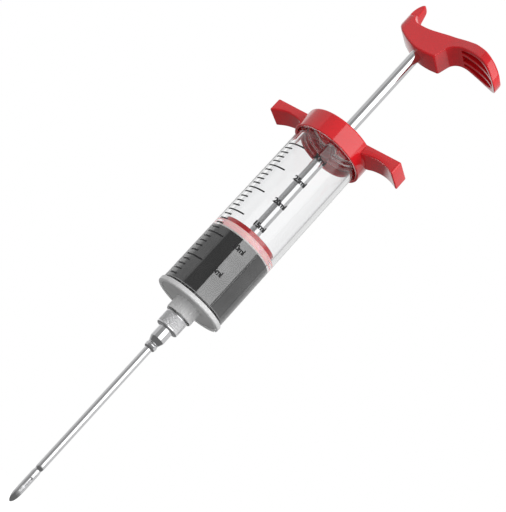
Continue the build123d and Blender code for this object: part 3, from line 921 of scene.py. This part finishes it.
class FinishHidden(bpy.types.Operator):
    """Finishes for the CAD parts that stay: gaskets, insert and the rod's nut"""

    bl_idname = "injector.hidden"
    bl_label = "Gaskets, insert and nut"

    def execute(self, context):
        finishes = {"nozzle_gasket": gasket_silicone, "cap_gasket": gasket_silicone,
                    "handle_insert": brass, "piston_nut": needle_steel}
        for node, finish in finishes.items():
            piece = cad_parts[node]
            for index in range(len(piece.material_slots)):
                piece.material_slots[index].material = finish()
            if not piece.material_slots:
                piece.data.materials.append(finish())
        return {"FINISHED"}


class BuildStage(bpy.types.Operator):
    """Pale floor, soft lights and the camera"""

    bl_idname = "injector.stage"
    bl_label = "Stage"

    def softbox(self, context, name, azimuth, elevation, distance, width, height, strength,
                mirrored=True, inside=1.0):
        """A rectangular light that faces the middle of the barrel from an azimuth and an
        elevation in degrees, never itself in view and, if it isn't mirrored, not in
        reflections either.  inside is the share of it that acts within clear plastic."""
        azimuth, elevation = math.radians(azimuth), math.radians(elevation)
        middle = Vector((0, 0, 0.035))
        light = bpy.data.lights.new(name, "AREA")
        light.shape, light.size, light.size_y = "RECTANGLE", width, height
        light.energy = strength * width * height * math.pi
        light.use_nodes = True
        nodes = light.node_tree
        path, share = nodes.nodes.new("ShaderNodeLightPath"), nodes.nodes.new("ShaderNodeMapRange")
        share.inputs["To Min"].default_value = 1.0
        share.inputs["To Max"].default_value = inside
        nodes.links.new(path.outputs["Transmission Depth"], share.inputs["Value"])
        nodes.links.new(share.outputs["Result"], nodes.nodes["Emission"].inputs["Strength"])
        way = Vector((math.cos(azimuth) * math.cos(elevation),
                      math.sin(azimuth) * math.cos(elevation), math.sin(elevation)))
        lamp = bpy.data.objects.new(name, light)
        lamp.location = middle + way * distance
        lamp.rotation_euler = way.to_track_quat("Z", "Y").to_euler()
        lamp.visible_camera = False
        lamp.visible_glossy = mirrored
        lamp.visible_transmission = mirrored
        context.scene.collection.objects.link(lamp)

    def execute(self, context):
        scene = context.scene
        scene.view_settings.view_transform = "Standard"
        floor_z = CAD_BOX[0][2] - 0.6 * MM
        reach = 3.0
        corners = [(-reach, -reach, floor_z), (reach, -reach, floor_z), (reach, reach, floor_z),
                   (-reach, reach, floor_z)]
        mesh = bpy.data.meshes.new("floor")
        mesh.from_pydata(corners, [], [(0, 1, 2, 3)])
        floor = bpy.data.objects.new("floor", mesh)
        scene.collection.objects.link(floor)
        mesh.materials.append(shader("floor_paper", (0.35, 0.35, 0.35), 0.6, variation=0.01,
                                     scale=40.0, bump=0.0, Emission_Color=(1, 1, 1, 1),
                                     Emission_Strength=0.85))
        # The floor is there to be seen: it neither shows in the part nor lights it.
        floor.visible_glossy = floor.visible_diffuse = False

        world = bpy.data.worlds.new("studio")
        scene.world = world
        world.use_nodes = True
        make, join = world.node_tree.nodes.new, world.node_tree.links.new
        sky = world.node_tree.nodes["Background"]
        # The studio is white where it is seen directly or through clear plastic.  Reflections
        # see grey, darker inside clear plastic and below, with a light backdrop behind the
        # part.  Dull surfaces are lit dimly from above, more from below and most inside.
        path = make("ShaderNodeLightPath")

        def layer(depth, below, above):
            """Picks one of two tones by how many bounces of a kind the path has had."""
            past = make("ShaderNodeMath")
            past.operation = "GREATER_THAN"
            past.inputs[1].default_value = 0.5
            join(path.outputs[depth], past.inputs[0])
            return blend(past.outputs[0], below, above)

        def blend(factor, below, above):
            """A mix of two tones, each a number or another layer."""
            mix = make("ShaderNodeMix")
            join(factor, mix.inputs["Factor"])
            for socket, tone in (("A", below), ("B", above)):
                if isinstance(tone, float):
                    mix.inputs[socket].default_value = tone
                else:
                    join(tone, mix.inputs[socket])
            return mix.outputs["Result"]

        where = make("ShaderNodeTexCoord")

        def toward(direction, start, end):
            """Rises from 0 to 1 as a ray turns to a direction, between two cosines."""
            facing = make("ShaderNodeVectorMath")
            facing.operation = "DOT_PRODUCT"
            facing.inputs[1].default_value = direction
            join(where.outputs["Generated"], facing.inputs[0])
            rise = make("ShaderNodeMapRange")
            rise.inputs["From Min"].default_value = start
            rise.inputs["From Max"].default_value = end
            join(facing.outputs["Value"], rise.inputs["Value"])
            return rise.outputs["Result"]

        grey, dark, backdrop, white = 0.34, 0.16, 0.80, 1.0
        dim, from_below, within = 0.12, 0.42, 0.40
        downward = toward((0.0, 0.0, -1.0), 0.0, 0.2)
        mirrored = layer("Transmission Depth", grey, dark)
        mirrored = blend(toward((-0.557, 0.831, 0.0), 0.55, 0.70), mirrored, backdrop)
        mirrored = blend(downward, mirrored, dark)
        dull = layer("Transmission Depth", blend(downward, dim, from_below), within)
        tone = layer("Diffuse Depth", layer("Glossy Depth", white, mirrored), dull)
        join(tone, sky.inputs["Color"])
        sky.inputs["Strength"].default_value = 1.0

        self.softbox(context, "key_box", -33, 20, 0.9, 1.15, 0.9, 1.6, inside=0.75)
        self.softbox(context, "key_soft", -20, 38, 1.1, 0.9, 0.9, 2.1, False)
        self.softbox(context, "side_box", 36, 18, 1.0, 1.2, 1.0, 0.35)
        self.softbox(context, "back_box", -163, 12, 1.0, 1.6, 1.4, 0.26)
        self.softbox(context, "top_box", 120, 72, 1.1, 0.9, 0.9, 0.5)
        self.softbox(context, "fill_box", -60, -5, 1.0, 1.6, 1.2, 0.4, False)
        self.softbox(context, "left_box", -130, 25, 1.0, 1.0, 1.0, 0.35, False)

        eye = bpy.data.cameras.new("camera")
        eye.sensor_width = 36.0
        eye.sensor_fit = "AUTO"
        eye.lens = 84.787
        eye.clip_start = 0.01
        camera = bpy.data.objects.new("camera", eye)
        right = Vector((0.7131, 0.2672, 0.6482)).normalized()
        back = Vector((0.5376, -0.8018, -0.2609)).normalized()
        up = back.cross(right).normalized()
        right = up.cross(back)
        spot = Vector((245.37, -356.12, -86.42)) * MM
        camera.matrix_world = Matrix((
            (right.x, up.x, back.x, spot.x), (right.y, up.y, back.y, spot.y),
            (right.z, up.z, back.z, spot.z), (0, 0, 0, 1)))
        scene.collection.objects.link(camera)
        scene.camera = camera
        return {"FINISHED"}


class InjectorPanel(bpy.types.Panel):
    """Lists the pieces of the injector"""

    bl_idname = "VIEW3D_PT_injector"
    bl_label = "Meat injector"
    bl_space_type = "VIEW_3D"
    bl_region_type = "UI"
    bl_category = "Injector"

    def draw(self, context):
        for operator in OPERATORS:
            self.layout.operator(operator.bl_idname)


SETTINGS = {
    "barrel_sizes": BarrelSizes, "piston_sizes": PistonSizes, "cap_sizes": CapSizes,
    "handle_sizes": HandleSizes, "needle_sizes": NeedleSizes, "finishes": Finishes,
}
OPERATORS = (BuildStage, BuildBarrel, BuildScale, BuildMarinade, BuildPiston, BuildRod, BuildCap,
             BuildHandle, BuildNeedle, FinishHidden)


def register():
    """Registers the classes and hangs the settings on the scene."""
    for kind in (*SETTINGS.values(), *OPERATORS, InjectorPanel):
        bpy.utils.register_class(kind)
    for name, kind in SETTINGS.items():
        setattr(bpy.types.Scene, name, PointerProperty(type=kind))


def unregister():
    """Takes the settings and the classes away again."""
    for name in SETTINGS:
        delattr(bpy.types.Scene, name)
    for kind in (InjectorPanel, *OPERATORS, *SETTINGS.values()):
        bpy.utils.unregister_class(kind)


def main():
    """Builds every piece."""
    register()
    for operator in OPERATORS:
        group, name = operator.bl_idname.split(".")
        getattr(getattr(bpy.ops, group), name)()


if __name__ == "__main__":
    main()
